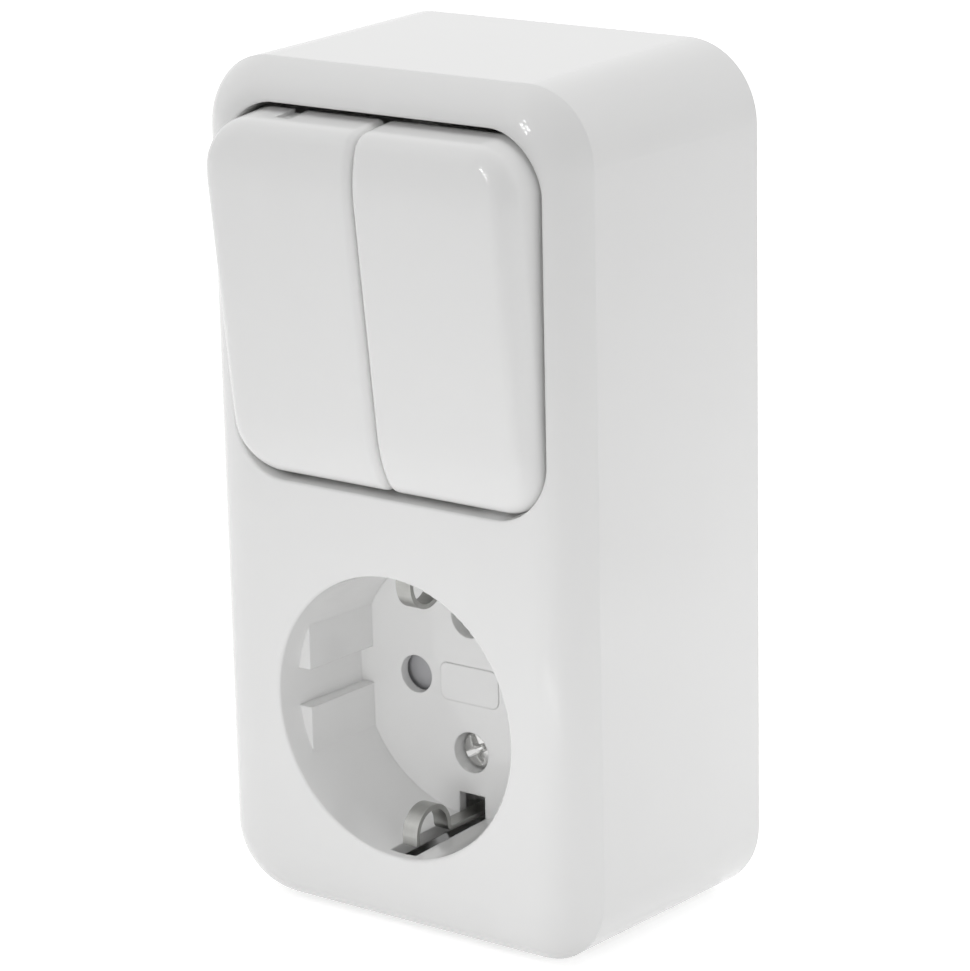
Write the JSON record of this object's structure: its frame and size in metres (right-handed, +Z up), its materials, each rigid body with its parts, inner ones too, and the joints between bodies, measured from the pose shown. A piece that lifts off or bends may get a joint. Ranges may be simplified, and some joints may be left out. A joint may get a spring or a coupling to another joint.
{
  "type": "surface-mounted light switch and socket combination",
  "caption": "Surface-mounted white unit with twin rocker light switches above an earthed wall socket, under one deep moulded cover on a wall plate.",
  "frame": {"origin": "centre of the base plate's back face, on the wall, at the middle of the wall hole pattern", "axes": "+Z up along the long side, -Y out of the wall to the front, +X to the right as seen from the front"},
  "size_m": [0.066, 0.0471, 0.1226],
  "materials": {
    "cover_plastic": "glossy smooth white moulded plastic",
    "rocker_plastic": "glossy smooth white moulded plastic",
    "carrier_plastic": "satin light grey moulded plastic",
    "block_plastic": "satin off-white moulded insulating plastic",
    "base_plastic": "satin white moulded plastic",
    "shutter_plastic": "satin mid grey moulded plastic",
    "contact_brass": "bright stamped brass strip",
    "earth_metal": "nickel-plated spring strip",
    "zinc_steel": "bright zinc-plated steel",
    "spring_steel": "drawn spring wire"
  },
  "bodies": {
    "housing": {"cover": "cover_plastic", "base_plate": "base_plastic", "switch_body": "block_plastic", "common_contact_bar": "contact_brass", "fixed_contact_left": "contact_brass", "fixed_contact_right": "contact_brass", "common_terminal_screw": "zinc_steel", "output_terminal_screw_left": "zinc_steel", "output_terminal_screw_right": "zinc_steel", "switch_screw_top_left": "zinc_steel", "switch_screw_top_right": "zinc_steel", "switch_screw_bottom": "zinc_steel", "socket_block": "block_plastic", "live_contact": "contact_brass", "neutral_contact": "contact_brass", "live_terminal_screw": "zinc_steel", "neutral_terminal_screw": "zinc_steel", "earth_terminal_screw": "zinc_steel", "earth_bow": "earth_metal", "shutter_spring": "spring_steel", "cover_screw_upper": "zinc_steel", "cover_screw_lower": "zinc_steel", "socket_screw_left": "zinc_steel", "socket_screw_right": "zinc_steel"},
    "left_rocker": {"rocker_left": "rocker_plastic", "rocker_carrier_left": "carrier_plastic", "plunger_spring_left": "spring_steel"},
    "right_rocker": {"rocker_right": "rocker_plastic", "rocker_carrier_right": "carrier_plastic", "plunger_spring_right": "spring_steel"},
    "left_plunger": {"plunger_left": "zinc_steel"},
    "right_plunger": {"plunger_right": "zinc_steel"},
    "left_blade": {"contact_blade_left": "contact_brass"},
    "right_blade": {"contact_blade_right": "contact_brass"},
    "shutter_rotor": {"shutter": "shutter_plastic"}
  },
  "joints": [
    {"name": "left_rocker_rock", "type": "hinge", "parent": "housing", "child": "left_rocker", "pos_m": [-0.01315, -0.0373, 0.0286], "axis": [-1, 0, 0], "range_deg": [0, 12.66]},
    {"name": "left_blade_tip", "type": "hinge", "parent": "housing", "child": "left_blade", "pos_m": [-0.01315, -0.0267, 0.0286], "axis": [1, 0, 0], "range_deg": [0, 12.1]},
    {"name": "left_plunger_slide", "type": "slide", "parent": "left_rocker", "child": "left_plunger", "axis": [0, -0.9939, -0.1103], "range_m": [0, 0.0006], "stiffness_N_per_m": 500, "springref_m": -0.001, "deforming": ["plunger_spring_left"]},
    {"name": "right_rocker_rock", "type": "hinge", "parent": "housing", "child": "right_rocker", "pos_m": [0.01315, -0.0373, 0.0286], "axis": [-1, 0, 0], "range_deg": [0, 12.66]},
    {"name": "right_blade_tip", "type": "hinge", "parent": "housing", "child": "right_blade", "pos_m": [0.01315, -0.0267, 0.0286], "axis": [1, 0, 0], "range_deg": [0, 12.1]},
    {"name": "right_plunger_slide", "type": "slide", "parent": "right_rocker", "child": "right_plunger", "axis": [0, -0.9939, -0.1103], "range_m": [0, 0.0006], "stiffness_N_per_m": 500, "springref_m": -0.001, "deforming": ["plunger_spring_right"]},
    {"name": "shutter_turn", "type": "hinge", "parent": "housing", "child": "shutter_rotor", "pos_m": [0, -0.021, -0.029], "axis": [0, -1, 0], "range_deg": [0, 40], "stiffness_Nm_per_rad": 0.004, "springref_deg": -17.19, "deforming": ["shutter_spring"]}
  ],
  "couplings": [
    {"joint": "left_blade_tip", "follows": "left_rocker_rock", "ratio": 0.9478},
    {"joint": "right_blade_tip", "follows": "right_rocker_rock", "ratio": 0.9478}
  ]
}
